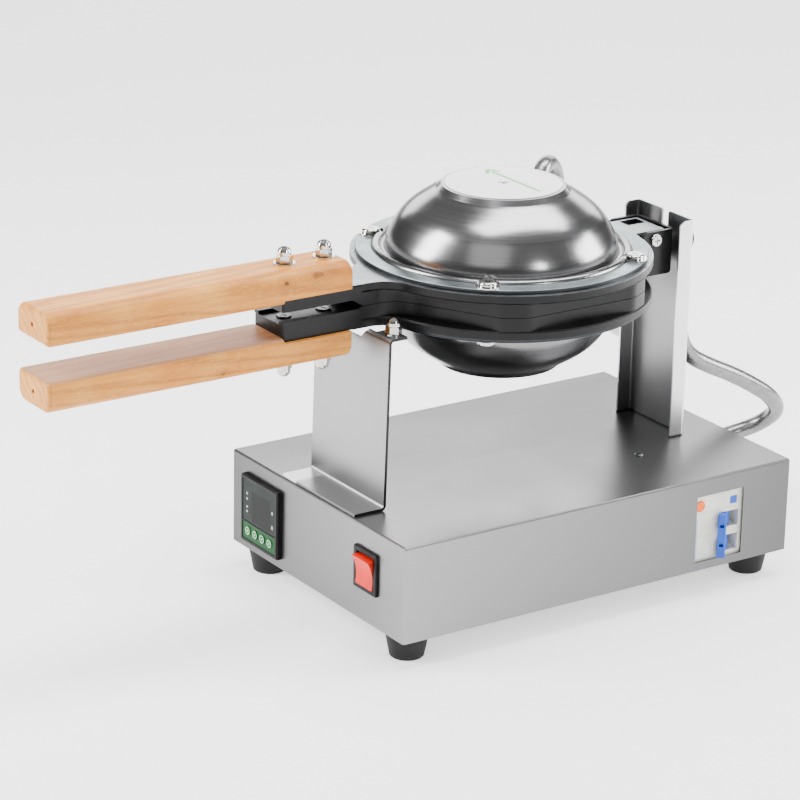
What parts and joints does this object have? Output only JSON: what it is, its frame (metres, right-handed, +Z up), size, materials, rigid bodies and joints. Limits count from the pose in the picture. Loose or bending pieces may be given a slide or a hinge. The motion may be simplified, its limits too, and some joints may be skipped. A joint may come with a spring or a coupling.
{
  "type": "waffle baker",
  "caption": "Tabletop waffle baker: round black two-leaf pan with wooden handles that turns over on posts above a steel box with a controller, a rocker switch and a breaker.",
  "frame": {"origin": "on the table plane under the feet, at the middle of the rigid parts' bounding box in X and Y", "axes": "+Z up, the handles and the controls towards -Y, +X to the operator's right"},
  "size_m": [0.2251, 0.6377, 0.2907],
  "materials": {
    "body_steel": "satin",
    "steel_black": "satin",
    "steel_zinc": "satin",
    "nut_chrome": "polished",
    "cast_black": "satin",
    "mould_dark": "matte",
    "cover_steel": "polished",
    "ring_steel": "satin",
    "heater_steel": "satin",
    "hose_steel": "satin",
    "pine": "satin",
    "label_white": "gloss",
    "rubber_black": "matte",
    "plastic_black": "matte",
    "window_dark": "gloss",
    "strip_green": "satin",
    "rocker_red": "gloss",
    "breaker_ivory": "satin",
    "toggle_blue": "satin",
    "button_orange": "satin",
    "brass": "satin"
  },
  "bodies": {
    "stand": {"base_shell": "body_steel", "bottom_plate": "steel_zinc", "rubber_feet": "rubber_black", "foot_screws": "steel_zinc", "bottom_screws": "steel_zinc", "front_support": "body_steel", "guide_nuts": "nut_chrome", "rear_support": "body_steel", "post_screws": "steel_zinc", "side_tab": "steel_zinc", "controller_housing": "plastic_black", "controller_bezel": "plastic_black", "controller_window": "window_dark", "key_strip": "strip_green", "rocker_housing": "plastic_black", "breaker_body": "breaker_ivory", "breaker_indicator": "toggle_blue", "din_rail": "steel_zinc", "rail_screw": "steel_zinc", "relay_heat_sink": "ring_steel", "power_relay": "plastic_black", "terminal_block": "plastic_black", "terminal_screws": "brass", "conduit_elbow": "plastic_black", "elbow_screw": "steel_zinc", "conduit": "hose_steel", "conduit_gland": "hose_steel", "mains_gland": "plastic_black"},
    "lower_pan": {"lower_casting": "cast_black", "lower_mould": "mould_dark", "lower_heater": "heater_steel", "lower_ring_plate": "ring_steel", "lower_ring_screws": "steel_zinc", "lower_cover": "cover_steel", "lower_handle": "pine", "lower_handle_bolts": "nut_chrome", "lower_heater_hose": "hose_steel", "hinge_bracket": "steel_black", "hinge_pin": "steel_zinc", "bracket_screws": "steel_zinc", "pivot_shaft": "steel_zinc"},
    "upper_pan": {"upper_casting": "cast_black", "upper_mould": "mould_dark", "upper_heater": "heater_steel", "upper_ring_plate": "ring_steel", "upper_ring_screws": "steel_zinc", "upper_cover": "cover_steel", "upper_handle": "pine", "upper_handle_bolts": "nut_chrome", "upper_heater_hose": "hose_steel", "direction_label": "label_white", "crown_rivet": "steel_zinc"},
    "rocker": {"rocker_paddle": "rocker_red"},
    "toggle": {"breaker_toggle": "toggle_blue"},
    "test_button": {"breaker_test_button": "button_orange"},
    "key_1": {"controller_key_1": "strip_green"},
    "key_2": {"controller_key_2": "strip_green"},
    "key_3": {"controller_key_3": "strip_green"},
    "key_4": {"controller_key_4": "strip_green"}
  },
  "joints": [
    {"name": "pan_flip", "type": "hinge", "parent": "stand", "child": "lower_pan", "pos_m": [0, 0.086, 0.226], "axis": [0, 1, 0], "range_deg": [-180, 0]},
    {"name": "pan_open", "type": "hinge", "parent": "lower_pan", "child": "upper_pan", "pos_m": [0, 0.2047, 0.236], "axis": [-1, 0, 0], "range_deg": [0, 100]},
    {"name": "rocker_tilt", "type": "hinge", "parent": "stand", "child": "rocker", "pos_m": [0.065, -0.062, 0.057], "axis": [-1, 0, 0], "range_deg": [0, 18]},
    {"name": "toggle_flip", "type": "hinge", "parent": "stand", "child": "toggle", "pos_m": [0.1016, 0.2129, 0.0432], "axis": [0, 0, 1], "range_deg": [0, 74]},
    {"name": "test_press", "type": "slide", "parent": "stand", "child": "test_button", "axis": [-1, 0, 0], "range_m": [0, 0.001], "stiffness_N_per_m": 300, "springref_m": -0.001},
    {"name": "key_press_1", "type": "slide", "parent": "stand", "child": "key_1", "axis": [0, 1, 0], "range_m": [0, 0.0008], "stiffness_N_per_m": 200, "springref_m": -0.001},
    {"name": "key_press_2", "type": "slide", "parent": "stand", "child": "key_2", "axis": [0, 1, 0], "range_m": [0, 0.0008], "stiffness_N_per_m": 200, "springref_m": -0.001},
    {"name": "key_press_3", "type": "slide", "parent": "stand", "child": "key_3", "axis": [0, 1, 0], "range_m": [0, 0.0008], "stiffness_N_per_m": 200, "springref_m": -0.001},
    {"name": "key_press_4", "type": "slide", "parent": "stand", "child": "key_4", "axis": [0, 1, 0], "range_m": [0, 0.0008], "stiffness_N_per_m": 200, "springref_m": -0.001}
  ]
}
